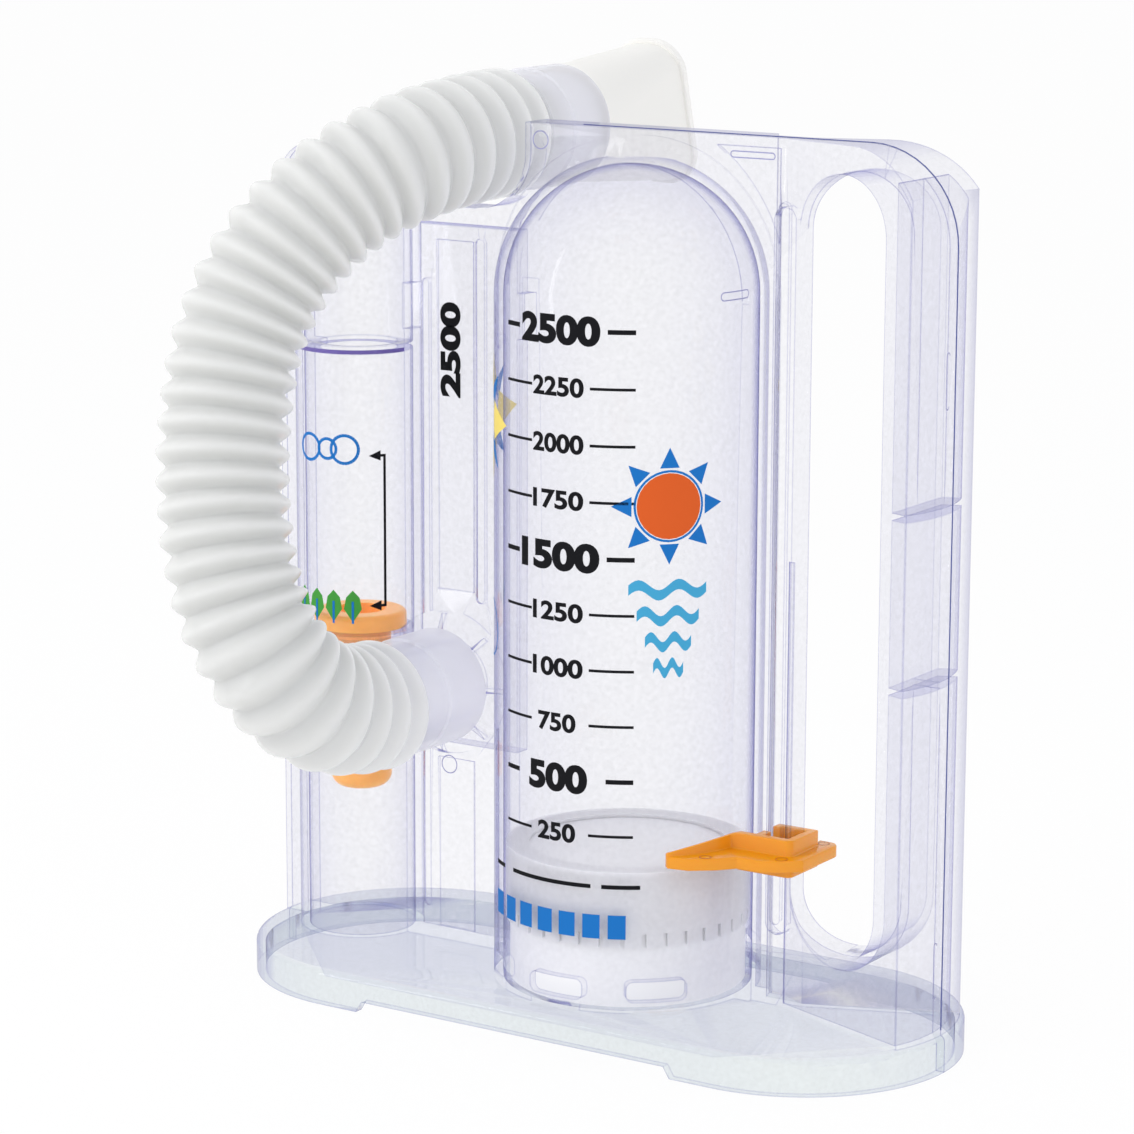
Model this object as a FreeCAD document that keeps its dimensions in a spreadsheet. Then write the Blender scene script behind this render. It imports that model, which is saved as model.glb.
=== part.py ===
import FreeCAD
import Part
import Sketcher
import math
import os

# Volumetric incentive spirometer: a clear two-shell body with a measuring chamber, a flow
# tube, a sliding pointer, a corrugated hose and a mouthpiece.
#
# Frame: millimetres, +X right, +Y back, +Z up. The origin is the centre of the base's
# underside, and the plane Y = 0 is the parting plane where the two shells meet.

os.makedirs("parts", exist_ok=True)
doc = FreeCAD.newDocument("spirometer")
sheet = doc.addObject("Spreadsheet::Sheet", "Sizes")

DRIVING_SIZES = [
    # base and outline of the body
    ("base_length", 170.4), ("base_depth", 71.0), ("base_height", 8.0), ("base_edge_round", 1.5),
    ("foot_gap_length", 77.0), ("foot_gap_height", 2.4), ("foot_gap_slope", 1.5),
    ("body_height", 191.5), ("body_inset", 1.0), ("body_corner", 20.0), ("wall", 2.0),
    ("web_front", 2.0), ("web_rear", 6.0), ("grip_half_depth", 14.0), ("crease_x", 45.8),
    ("shoulder_height", 184.0), ("shoulder_corner", 9.0),
    # ribs and recesses on the front of the web
    ("recess_depth", 0.6), ("rib_height", 0.8), ("rib_x", -44.0), ("rib_z", 86.0), ("rib_width", 1.9),
    ("rib_length", 141.0), ("ridge_x", -29.6), ("ridge_z", 126.0), ("ridge_width", 2.4),
    ("ridge_length", 80.0), ("recess_left", -41.5), ("recess_right", -32.0), ("recess_low", 11.0),
    ("recess_mid_low", 50.0), ("recess_mid_high", 88.0), ("recess_high", 165.0),
    ("field_reach", 39.0), ("field_margin", 2.2),
    # measuring chamber
    ("chamber_x", 7.2), ("chamber_radius", 29.0), ("chamber_straight", 157.0),
    ("border_width", 3.4), ("border_height", 1.0),
    ("vent_width", 13.0), ("vent_height", 4.4), ("vent_low", 10.4), ("vent_round", 1.5),
    # flow tube
    ("flow_x", -64.1), ("flow_radius", 14.0), ("flow_straight", 166.0),
    ("stop_height", 139.5), ("stop_thickness", 1.4), ("stop_opening", 8.6),
    ("seat_height", 74.6), ("seat_thickness", 2.0), ("seat_opening", 7.6),
    # cradle that the hose rests in, and the handle slot
    ("cradle_left", -52.5), ("cradle_right", -18.4), ("cradle_floor", 172.4), ("cradle_corner", 12.7),
    ("slot_left", 49.8), ("slot_right", 74.1), ("slot_low", 21.8), ("slot_high", 185.5),
    ("grip_rib_low", 82.0), ("grip_rib_high", 118.0), ("grip_rib_thickness", 1.4),
    # rail and pointer
    ("rail_width", 5.2), ("rail_height", 3.0), ("rail_low", 24.5), ("rail_high", 178.0),
    ("groove_width", 2.6), ("groove_depth", 0.9), ("slide_gap", 0.3), ("clip_wall", 1.9),
    ("clip_low", 38.0), ("clip_height", 8.0), ("clip_corner", 1.6), ("clip_hook", 0.9),
    ("plate_rise", 2.0), ("plate_thickness", 2.6), ("pointer_gap", 0.9), ("pointer_angle", 47.4),
    ("arm_rib", 1.4), ("lobe_right", 55.2), ("lobe_rear", 8.2), ("lobe_corner", 2.6), ("ledge", 5.4),
    # connector on the web, made to the 22 mm cone of breathing tubes
    ("connector_x", -38.5), ("connector_z", 67.5), ("connector_radius", 11.0), ("connector_bore", 8.8),
    ("connector_reach", 24.0), ("boss_radius", 16.0), ("boss_height", 1.6), ("gusset_reach", 2.4),
    ("gusset_thickness", 1.2), ("gusset_inset", 0.4), ("knurl_depth", 0.4), ("knurl_pitch", 2.4),
    ("plenum_low", 53.0), ("plenum_high", 168.0), ("window_rise", 5.0), ("window_height", 10.0),
    # piston and float
    ("piston_gap", 0.6), ("piston_height", 29.6), ("piston_rest_gap", 0.3), ("piston_wall", 1.6),
    ("skirt_low", 21.5), ("skirt_thickness", 0.8), ("skirt_gap", 0.1), ("skirt_rim", 5.0),
    ("skirt_slit_width", 1.0), ("skirt_slit_height", 3.0),
    ("float_disc_radius", 10.3), ("float_disc_thickness", 3.6), ("float_stem_radius", 6.8),
    ("float_stem_length", 37.0), ("float_gap", 0.3), ("float_round", 3.0), ("float_wall", 1.2),
    # hose, cuffs and mouthpiece
    ("hose_radius", 14.1), ("hose_bore", 11.6), ("cuff_gap", 0.1),
    ("lower_cuff_radius", 12.7), ("cuff_step", 0.5), ("cuff_step_part", 0.35),
    ("upper_cuff_radius", 13.4), ("upper_cuff_bore", 11.7), ("upper_cuff_length", 21.5),
    ("mouth_length", 39.5), ("mouth_half_height", 16.5), ("mouth_half_width", 8.5), ("mouth_tilt", 15.0),
    ("mouth_wall", 1.6), ("mouth_lip", 0.8), ("mouth_lip_length", 1.6), ("mouth_plug_length", 14.0),
    ("mouth_corner", 7.0),
]

# Chosen by hand: the hose from the lower cuff, forwards and up, back into the cradle.
HOSE_ROUTE = [
    (-38.5, -27.0, 67.5), (-38.5, -45.0, 67.5), (-44.0, -59.0, 80.0), (-53.0, -61.0, 98.0),
    (-60.0, -55.0, 126.0), (-60.5, -46.0, 154.0), (-50.5, -31.0, 175.5), (-36.5, -8.0, 187.0),
    (-36.5, 17.0, 187.0),
]

for row, (alias, number) in enumerate(DRIVING_SIZES, start=1):
    sheet.set("A%d" % row, alias)
    sheet.set("B%d" % row, str(number))
    sheet.setAlias("B%d" % row, alias)
doc.recompute()


class Size:
    """A number together with the sheet expression that gives it."""

    def __init__(self, number, text):
        self.number = float(number)
        self.text = text

    def join(self, other, sign, result):
        return Size(result, "(%s %s %s)" % (self.text, sign, other.text))

    def __add__(self, other):
        other = as_size(other)
        return self.join(other, "+", self.number + other.number)

    def __sub__(self, other):
        other = as_size(other)
        return self.join(other, "-", self.number - other.number)

    def __mul__(self, other):
        other = as_size(other)
        return self.join(other, "*", self.number * other.number)

    def __truediv__(self, other):
        other = as_size(other)
        return self.join(other, "/", self.number / other.number)

    def __radd__(self, other):
        return as_size(other) + self

    def __rsub__(self, other):
        return as_size(other) - self

    def __rmul__(self, other):
        return as_size(other) * self

    def __neg__(self):
        return as_size(0) - self


def as_size(value):
    return value if isinstance(value, Size) else Size(value, "%.6g" % value)


def size(alias):
    return Size(sheet.get(alias), "Sizes.%s" % alias)


def root(value):
    return Size(math.sqrt(value.number), "sqrt(%s)" % value.text)


def bind(thing, prop, value):
    """Set a property from a size and keep it bound to the sheet."""
    value = as_size(value)
    thing.setExpression(prop, value.text)


def new_body(name):
    body = doc.addObject("PartDesign::Body", name)
    body.Label = name
    return body


def new_sketch(body, name, role, offset=(0, 0, 0)):
    """A sketch on one of the body's own origin planes, shifted in the sketch's own axes."""
    sketch = body.newObject("Sketcher::SketchObject", name)
    plane = [f for f in body.Origin.OriginFeatures if f.Role == role][0]
    sketch.AttachmentSupport = (plane, [""])
    sketch.MapMode = "FlatFace"
    for axis, value in zip("xyz", offset):
        if isinstance(value, Size) or value:
            bind(sketch, "AttachmentOffset.Base.%s" % axis, value)
    return sketch


def fix_point(sketch, geometry, position, x, y):
    for kind, value in (("DistanceX", as_size(x)), ("DistanceY", as_size(y))):
        index = sketch.addConstraint(Sketcher.Constraint(kind, -1, 1, geometry, position, value.number))
        sketch.setExpression("Constraints[%d]" % index, value.text)


def circle(sketch, x, y, radius):
    x, y, radius = as_size(x), as_size(y), as_size(radius)
    centre = FreeCAD.Vector(x.number, y.number, 0)
    index = sketch.addGeometry(Part.Circle(centre, FreeCAD.Vector(0, 0, 1), radius.number))
    fix_point(sketch, index, 3, x, y)
    held = sketch.addConstraint(Sketcher.Constraint("Radius", index, radius.number))
    sketch.setExpression("Constraints[%d]" % held, radius.text)


def outline(sketch, corners):
    """A closed outline. Each corner is (x, y), or (x, y, radius, left) where an arc of that
    radius leads from it to the next corner and bends to its left or right."""
    count = len(corners)
    for i, corner in enumerate(corners):
        nxt = corners[(i + 1) % count]
        start = FreeCAD.Vector(as_size(corner[0]).number, as_size(corner[1]).number, 0)
        end = FreeCAD.Vector(as_size(nxt[0]).number, as_size(nxt[1]).number, 0)
        if len(corner) == 2:
            sketch.addGeometry(Part.LineSegment(start, end))
        else:
            radius = as_size(corner[2])
            sketch.addGeometry(arc_between(start, end, radius.number, corner[3]))
    for i, corner in enumerate(corners):
        before = (i - 1) % count
        is_arc = len(corner) == 4
        was_arc = len(corners[before]) == 4
        start_point = 1 if not is_arc or corner[3] else 2
        end_point = 2 if not was_arc or corners[before][3] else 1
        sketch.addConstraint(Sketcher.Constraint("Coincident", before, end_point, i, start_point))
        fix_point(sketch, i, start_point, corner[0], corner[1])
    for i, corner in enumerate(corners):
        if len(corner) == 4:
            hold_arc(sketch, i, corner, corners[(i + 1) % count])


def hold_arc(sketch, index, start, end):
    """Fix an arc by its radius, or a half circle by the level of its centre."""
    radius = as_size(start[2])
    across = abs(as_size(start[0]).number - as_size(end[0]).number)
    along = abs(as_size(start[1]).number - as_size(end[1]).number)
    if math.hypot(across, along) < 1.999999 * radius.number:
        kind, value = "Radius", radius
        held = sketch.addConstraint(Sketcher.Constraint(kind, index, value.number))
    else:
        kind, value = ("DistanceY", as_size(start[1])) if across > along else ("DistanceX", as_size(start[0]))
        held = sketch.addConstraint(Sketcher.Constraint(kind, -1, 1, index, 3, value.number))
    sketch.setExpression("Constraints[%d]" % held, value.text)


def arc_between(start, end, radius, left):
    """The short arc from start to end whose centre lies on the left, or on the right."""
    chord = end - start
    half = chord.Length / 2
    middle = (start + end) / 2
    normal = FreeCAD.Vector(-chord.y, chord.x, 0).normalize()
    height = math.sqrt(max(radius * radius - half * half, 0))
    centre = middle + normal * (height if left else -height)
    full = Part.Circle(centre, FreeCAD.Vector(0, 0, 1), radius)
    first = math.atan2(start.y - centre.y, start.x - centre.x)
    last = math.atan2(end.y - centre.y, end.x - centre.x)
    if not left:
        first, last = last, first
    return Part.ArcOfCircle(full, first, last if last > first else last + 2 * math.pi)


def obround(sketch, x, y, width, height):
    """An upright slot outline centred on x, y with round ends."""
    half = as_size(width) / 2
    straight = (as_size(height) - width) / 2
    outline(sketch, [
        (x + half, y - straight),
        (x + half, y + straight, half, True),
        (x - half, y + straight),
        (x - half, y - straight, half, True),
    ])


def feature(body, kind, name, sketch, **settings):
    thing = body.newObject("PartDesign::" + kind, name)
    thing.Profile = sketch
    sketch.Visibility = False
    for prop, value in settings.items():
        if isinstance(value, Size):
            bind(thing, prop, value)
        else:
            setattr(thing, prop, value)
    return thing


def pad(body, name, sketch, length, reverse=False):
    return feature(body, "Pad", name, sketch, Length=as_size(length), Reversed=reverse)


def pocket(body, name, sketch, length, reverse=False):
    return feature(body, "Pocket", name, sketch, Length=as_size(length), Reversed=reverse)


def pocket_both_ways(body, name, sketch):
    return feature(body, "Pocket", name, sketch, Type="ThroughAll", SideType="Symmetric")


def turned(body, name, sketch, angle=360.0, reverse=False, cut=False):
    kind = "Groove" if cut else "Revolution"
    thing = feature(body, kind, name, sketch, Angle=angle, Reversed=reverse)
    thing.ReferenceAxis = (sketch, ["V_Axis"])
    return thing


# Lengths worked out from the driving sizes and shared by several pieces.
BASE_HALF = size("base_length") / 2
BASE_RADIUS = size("base_depth") / 2
BASE_ARC_X = BASE_HALF - BASE_RADIUS
FLOOR = size("base_height") - size("wall")
GRIP_RADIUS = BASE_RADIUS - size("body_inset")
GRIP_RIGHT = BASE_ARC_X + GRIP_RADIUS
BODY_LEFT = size("body_inset") - BASE_HALF
CHAMBER_BORE = size("chamber_radius") - size("wall")
FLOW_BORE = size("flow_radius") - size("wall")
SLOT_WIDTH = size("slot_right") - size("slot_left")
SLOT_X = (size("slot_left") + size("slot_right")) / 2
SLOT_Z = (size("slot_low") + size("slot_high")) / 2
RAIL_LEFT = size("slot_left") - size("rail_width")
POST_LEFT = RAIL_LEFT - size("groove_width") - 1


def grip_corner_x(radius, depth):
    """Where a panel at this depth meets the curved wall of the handle."""
    return BASE_ARC_X + root(radius * radius - depth * depth)


def crease(side):
    """Where the panel starts to slant: in front beside the rail, behind only at the slot."""
    return size("crease_x") if side < 0 else size("slot_left")


def half_stadium(sketch, side, inset):
    radius = BASE_RADIUS - inset
    front = radius * side
    outline(sketch, [
        (inset - BASE_HALF, as_size(0), radius, side < 0),
        (-BASE_ARC_X, front),
        (BASE_ARC_X, front, radius, side < 0),
        (BASE_HALF - inset, as_size(0)),
    ])


def round_base_edge(body, side):
    """Round the long edge of the base's top, leaving the parting plane sharp."""
    base = body.Tip
    doc.recompute()
    level = size("base_height").number
    edges = []
    for number, edge in enumerate(base.Shape.Edges, start=1):
        box = edge.BoundBox
        is_top = abs(box.ZMin - level) < 1e-4 and abs(box.ZMax - level) < 1e-4
        if is_top and max(abs(box.YMin), abs(box.YMax)) > 1:
            edges.append("Edge%d" % number)
    rounding = body.newObject("PartDesign::Fillet", body.Label + "_edge")
    rounding.Base = (base, edges)
    bind(rounding, "Radius", size("base_edge_round"))


def half_tube(body, name, side, x, radius, straight):
    """A half cylinder standing on the base, closed by a quarter sphere."""
    sketch = new_sketch(body, name + "_plan", "XY_Plane", (0, 0, FLOOR))
    outline(sketch, [
        (x - radius, as_size(0), radius, side < 0),
        (x + radius, as_size(0)),
    ])
    pad(body, name + "_wall", sketch, straight - FLOOR)
    sketch = new_sketch(body, name + "_arc", "XZ_Plane", (x, 0, 0))
    outline(sketch, [
        (as_size(0), straight),
        (radius, straight, radius, True),
        (as_size(0), straight + radius),
    ])
    turned(body, name + "_dome", sketch, 180.0, reverse=side < 0)


def half_bore(body, name, side, x, radius, straight):
    """The hollow of a half tube, from the base's top up into its dome."""
    sketch = new_sketch(body, name + "_plan", "XY_Plane", (0, 0, size("base_height")))
    outline(sketch, [
        (x - radius, as_size(0), radius, side < 0),
        (x + radius, as_size(0)),
    ])
    pocket(body, name + "_bore", sketch, straight - size("base_height"), reverse=True)
    sketch = new_sketch(body, name + "_arc", "XZ_Plane", (x, 0, 0))
    outline(sketch, [
        (as_size(0), straight),
        (radius, straight, radius, True),
        (as_size(0), straight + radius),
    ])
    turned(body, name + "_hollow", sketch, 180.0, reverse=side < 0, cut=True)


def panel(body, side):
    """The upright panel: flat at the web, then slanting out to the curved wall of the handle."""
    web = size("web_front") if side < 0 else size("web_rear")
    post = size("web_front")
    corner = grip_corner_x(GRIP_RADIUS, size("grip_half_depth"))
    corners = [(BODY_LEFT, as_size(0)), (BODY_LEFT, web * side)]
    if side > 0:
        corners += [(POST_LEFT - size("wall"), web * side), (POST_LEFT, post * side)]
    corners += [
        (crease(side), post * side),
        (corner, size("grip_half_depth") * side, GRIP_RADIUS, side < 0),
        (GRIP_RIGHT, as_size(0)),
    ]
    sketch = new_sketch(body, "panel_plan", "XY_Plane", (0, 0, FLOOR))
    outline(sketch, corners)
    pad(body, "panel", sketch, size("body_height") - FLOOR)


def cut_corner(body, name, right, top, radius):
    """Round the top right corner of a panel in the view from the front."""
    sketch = new_sketch(body, name + "_view", "XZ_Plane")
    outline(sketch, [
        (right - radius, top + 1),
        (right - radius, top, radius, False),
        (right, top - radius),
        (right + 1, top - radius),
        (right + 1, top + 1),
    ])
    pocket_both_ways(body, name, sketch)


def cut_outline(body):
    """Cut the cradle for the hose, the low left shoulder and the handle slot."""
    top = size("body_height") + 1
    left, right = size("cradle_left"), size("cradle_right")
    floor, bend = size("cradle_floor"), size("cradle_corner")
    cradle = new_sketch(body, "cradle_view", "XZ_Plane")
    outline(cradle, [
        (left, top),
        (left, floor + bend, bend, True),
        (left + bend, floor),
        (right - bend, floor, bend, True),
        (right, floor + bend),
        (right, top),
    ])
    pocket_both_ways(body, "cradle", cradle)
    high, curve = size("shoulder_height"), size("shoulder_corner")
    shoulder = new_sketch(body, "shoulder_view", "XZ_Plane")
    outline(shoulder, [
        (BODY_LEFT - 1, top),
        (BODY_LEFT - 1, high - curve),
        (BODY_LEFT, high - curve, curve, False),
        (BODY_LEFT + curve, high),
        (left + 1, high),
        (left + 1, top),
    ])
    pocket_both_ways(body, "shoulder", shoulder)
    cut_corner(body, "corner", GRIP_RIGHT, size("body_height"), size("body_corner"))
    slot = new_sketch(body, "slot_view", "XZ_Plane")
    obround(slot, SLOT_X, SLOT_Z, SLOT_WIDTH, size("slot_high") - size("slot_low"))
    pocket_both_ways(body, "slot", slot)


def cut_underside(body, side):
    """Hollow the base from below and raise its rim between the two feet."""
    sketch = new_sketch(body, "underside_plan", "XY_Plane")
    half_stadium(sketch, side, size("wall"))
    pocket(body, "underside", sketch, FLOOR, reverse=True)
    half = size("foot_gap_length") / 2
    slope = size("foot_gap_slope")
    gap = new_sketch(body, "foot_gap_view", "XZ_Plane")
    outline(gap, [
        (-half - slope, as_size(-1)),
        (half + slope, as_size(-1)),
        (half + slope, as_size(0)),
        (half, size("foot_gap_height")),
        (-half, size("foot_gap_height")),
        (-half - slope, as_size(0)),
    ])
    pocket_both_ways(body, "foot_gap", gap)


def border(body, side):
    """The raised border around the measuring chamber."""
    web = size("web_front") if side < 0 else size("web_rear")
    reach = size("chamber_radius") + size("border_width")
    x, straight = size("chamber_x"), size("chamber_straight")
    sketch = new_sketch(body, "border_view", "XZ_Plane")
    outline(sketch, [
        (x + reach, FLOOR),
        (x + reach, straight, reach, True),
        (x - reach, straight),
        (x - reach, FLOOR),
    ])
    pad(body, "border", sketch, web + size("border_height"), reverse=side > 0)


def rib_outline(body, name, side, x, z, width, height, reach):
    sketch = new_sketch(body, name + "_view", "XZ_Plane")
    obround(sketch, as_size(x), as_size(z), width, as_size(height))
    pad(body, name, sketch, reach, reverse=side > 0)


def connector(body):
    """The cone for the hose, on a round boss with gussets, in front of the web."""
    x, z = size("connector_x"), size("connector_z")
    web, knurl = size("web_front"), size("knurl_depth")
    radius, boss_radius = size("connector_radius"), size("boss_radius")
    tip = web + size("connector_reach")
    boss = web + size("boss_height")
    gusset_end = boss + size("gusset_reach")
    sketch = new_sketch(body, "connector_profile", "XY_Plane", (x, 0, z))
    corners = [
        (as_size(0), as_size(0)),
        (as_size(0), -tip),
        (radius - knurl * 2, -tip),
        (radius - knurl, knurl * 2 - tip),
    ]
    for ring in range(1, 6):
        front = tip - size("knurl_pitch") * ring
        corners += [
            (radius - knurl, -front),
            (radius, knurl - front),
            (radius, knurl * 3 - front),
            (radius - knurl, knurl * 4 - front),
        ]
    corners += [
        (radius - knurl, -(gusset_end + knurl)),
        (radius, -gusset_end),
        (radius, -boss),
        (boss_radius, -boss),
        (boss_radius, as_size(0)),
    ]
    outline(sketch, corners)
    turned(body, "connector", sketch)
    inset = size("gusset_inset")
    gusset = new_sketch(body, "gusset_profile", "XY_Plane", (x, 0, z))
    outline(gusset, [
        (radius - inset, inset - boss),
        (radius - inset, -gusset_end),
        (radius + inset, -gusset_end),
        (boss_radius - inset, -(boss + inset)),
        (boss_radius - inset, inset - boss),
    ])
    first = feature(body, "Pad", "gusset", gusset, Length=size("gusset_thickness"), SideType="Symmetric")
    pattern = body.newObject("PartDesign::PolarPattern", "gussets")
    pattern.Originals = [first]
    pattern.Axis = (doc.getObject("connector_profile"), ["V_Axis"])
    pattern.Angle = 360.0
    pattern.Occurrences = 8
    body.Tip = pattern
    bore = new_sketch(body, "connector_bore_view", "XZ_Plane")
    circle(bore, x, z, size("connector_bore"))
    pocket_both_ways(body, "connector_bore", bore)


def vents(body, side):
    """Air slots low in the wall of the measuring chamber, spaced around it."""
    x = size("chamber_x")
    half, curve = size("vent_width") / 2, size("vent_round")
    low, high = size("vent_low"), size("vent_low") + size("vent_height")
    sketch = new_sketch(body, "vent_view", "XZ_Plane", (x, 0, 0))
    outline(sketch, [
        (half, low + curve),
        (half, high - curve, curve, True),
        (half - curve, high),
        (curve - half, high, curve, True),
        (-half, high - curve),
        (-half, low + curve, curve, True),
        (curve - half, low),
        (half - curve, low, curve, True),
    ])
    first = feature(body, "Pocket", "vent", sketch, Length=size("chamber_radius") + 1, Reversed=side < 0)
    pattern = body.newObject("PartDesign::MultiTransform", "vents")
    pattern.Originals = [first]
    steps = []
    for name, reverse in (("vents_left", False), ("vents_right", True)):
        turn = body.newObject("PartDesign::PolarPattern", name)
        turn.Axis = (sketch, ["V_Axis"])
        turn.Angle = 45.0
        turn.Occurrences = 2
        turn.Reversed = reverse
        steps.append(turn)
    pattern.Transformations = steps
    body.Tip = pattern


def tube_rings(body, side):
    """A stop for the float at the top of the flow tube, as a half ring."""
    x, inner = size("flow_x"), size("stop_opening")
    sketch = new_sketch(body, "stop_plan", "XY_Plane", (0, 0, size("stop_height")))
    outer = size("flow_radius") - 0.5
    outline(sketch, [
        (x - outer, as_size(0), outer, side < 0),
        (x + outer, as_size(0)),
        (x + inner, as_size(0), inner, side > 0),
        (x - inner, as_size(0)),
    ])
    pad(body, "stop_ring", sketch, size("stop_thickness"))


def web_details(body):
    """Ribs and recessed panels on the front of the web."""
    side = -1
    proud = size("web_front") + size("rib_height")
    for name in ("rib", "ridge"):
        rib_outline(body, "web_" + name, side, size(name + "_x"), size(name + "_z"), size(name + "_width"),
                    size(name + "_length"), proud)
    left, right = size("recess_left"), size("recess_right")
    floor = size("web_front") - size("recess_depth")
    for name, low, high in (
        ("recess_below", size("recess_low"), size("recess_mid_low")),
        ("recess_above", size("recess_mid_high"), size("recess_high")),
    ):
        sketch = new_sketch(body, name + "_view", "XZ_Plane", (0, 0, floor))
        outline(sketch, [(left, low), (right, low), (right, high), (left, high)])
        pocket(body, name, sketch, size("wall"), reverse=True)


def corner_details(body):
    """The recessed corner field to the right of the dome."""
    x, straight = size("chamber_x"), size("chamber_straight")
    reach = size("field_reach")
    top = size("body_height") - size("field_margin")
    right = RAIL_LEFT - size("recess_depth")
    low = straight + root(reach * reach - (right - x) * (right - x))
    start = x + root(reach * reach - (top - straight) * (top - straight))
    depth = size("web_front") - size("recess_depth")
    field = new_sketch(body, "corner_field_view", "XZ_Plane", (0, 0, depth))
    outline(field, [(start, top, reach, False), (right, low), (right, top)])
    pocket(body, "corner_field", field, size("wall"), reverse=True)


def plenum(body):
    """The air space behind the connector, open to the chamber and to the flow tube."""
    deep = size("web_rear") - size("wall")
    left = size("flow_x") + size("flow_radius")
    right = size("chamber_x") - size("chamber_radius")
    low, high = size("plenum_low"), size("plenum_high")
    sketch = new_sketch(body, "plenum_view", "XZ_Plane")
    outline(sketch, [(left, low), (right, low), (right, high), (left, high)])
    pocket(body, "plenum", sketch, deep)
    window_low = size("stop_height") + size("window_rise")
    window_high = window_low + size("window_height")
    for name, from_x, to_x in (
        ("flow_window", left - size("wall") * 2, left + 1),
        ("chamber_window", right - 1, right + size("wall") * 2),
    ):
        window = new_sketch(body, name + "_view", "XZ_Plane")
        outline(window, [
            (from_x, window_low),
            (to_x, window_low),
            (to_x, window_high),
            (from_x, window_high),
        ])
        pocket(body, name, window, deep)


def clip_groove(body):
    """A groove in the back of the post for the rear lip of the pointer's clip."""
    half = size("groove_width") / 2
    floor = size("groove_depth") - size("web_front")
    sketch = new_sketch(body, "clip_groove_view", "XZ_Plane", (0, 0, floor))
    obround(sketch, RAIL_LEFT - half, (size("rail_low") + size("rail_high")) / 2, size("groove_width"),
            size("rail_high") - size("rail_low"))
    pocket(body, "clip_groove", sketch, 3.0)


def grip_core(name, side):
    """The hollow inside the handle, crossed by two thin ribs."""
    body = new_body(name)
    wall = size("wall")
    depth = size("grip_half_depth") - wall
    radius = GRIP_RADIUS - wall
    sketch = new_sketch(body, "core_plan", "XY_Plane", (0, 0, size("base_height")))
    outline(sketch, [
        (crease(side) + 0.5, as_size(0)),
        (grip_corner_x(radius, depth), depth * side, radius, side < 0),
        (GRIP_RIGHT - wall, as_size(0)),
    ])
    pad(body, "core", sketch, size("body_height") - wall - size("base_height"))
    slot = new_sketch(body, "slot_keep_view", "XZ_Plane")
    obround(slot, SLOT_X, SLOT_Z, SLOT_WIDTH + wall * 2, size("slot_high") - size("slot_low") + wall * 2)
    pocket_both_ways(body, "slot_keep", slot)
    above = new_sketch(body, "above_slot_view", "XZ_Plane")
    outline(above, [
        (size("slot_left") - wall * 3, SLOT_Z),
        (size("slot_right") + wall, SLOT_Z),
        (size("slot_right") + wall, size("body_height")),
        (size("slot_left") - wall * 3, size("body_height")),
    ])
    pocket_both_ways(body, "above_slot", above)
    cut_corner(body, "core_corner", GRIP_RIGHT - wall, size("body_height") - wall, size("body_corner") - wall)
    half = size("grip_rib_thickness") / 2
    for alias in ("grip_rib_low", "grip_rib_high"):
        rib = new_sketch(body, alias + "_view", "XZ_Plane")
        outline(rib, [
            (size("slot_right"), size(alias) - half),
            (BASE_HALF, size(alias) - half),
            (BASE_HALF, size(alias) + half),
            (size("slot_right"), size(alias) + half),
        ])
        pocket_both_ways(body, alias, rib)
    return body


def shell(name, side):
    """One half of the clear body, moulded in one piece with its half of the base."""
    body = new_body(name + "_mass")
    plan = new_sketch(body, "base_plan", "XY_Plane")
    half_stadium(plan, side, as_size(0))
    pad(body, "base", plan, size("base_height"))
    round_base_edge(body, side)
    panel(body, side)
    half_tube(body, "chamber", side, size("chamber_x"), size("chamber_radius"), size("chamber_straight"))
    half_tube(body, "flow", side, size("flow_x"), size("flow_radius"), size("flow_straight"))
    border(body, side)
    if side < 0:
        rail_z = (size("rail_low") + size("rail_high")) / 2
        rib_outline(body, "rail", side, RAIL_LEFT + size("rail_width") / 2, rail_z, size("rail_width"),
                    size("rail_high") - size("rail_low"), size("web_front") + size("rail_height"))
        web_details(body)
        corner_details(body)
        connector(body)
    else:
        plenum(body)
        clip_groove(body)
    cut_outline(body)
    cut_underside(body, side)
    vents(body, side)
    half_bore(body, "chamber", side, size("chamber_x"), CHAMBER_BORE, size("chamber_straight"))
    half_bore(body, "flow", side, size("flow_x"), FLOW_BORE, size("flow_straight"))
    tube_rings(body, side)
    cut = doc.addObject("Part::Cut", name)
    cut.Base = body
    cut.Tool = grip_core(name + "_grip_core", side)
    cut.Label = name
    return cut


def slide_piston():
    """The white cup that rises on the breath, open below."""
    body = new_body("piston")
    low = size("base_height") + size("piston_rest_gap")
    top = low + size("piston_height") - size("skirt_thickness")
    outer = CHAMBER_BORE - size("piston_gap") - size("skirt_thickness") - size("skirt_gap")
    inner = outer - size("piston_wall")
    ceiling = top - size("piston_wall")
    sketch = new_sketch(body, "piston_profile", "XZ_Plane", (size("chamber_x"), 0, 0))
    outline(sketch, [
        (as_size(0), ceiling),
        (inner, ceiling),
        (inner, low),
        (outer, low),
        (outer, top),
        (as_size(0), top),
    ])
    turned(body, "cup", sketch)
    return body


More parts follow.
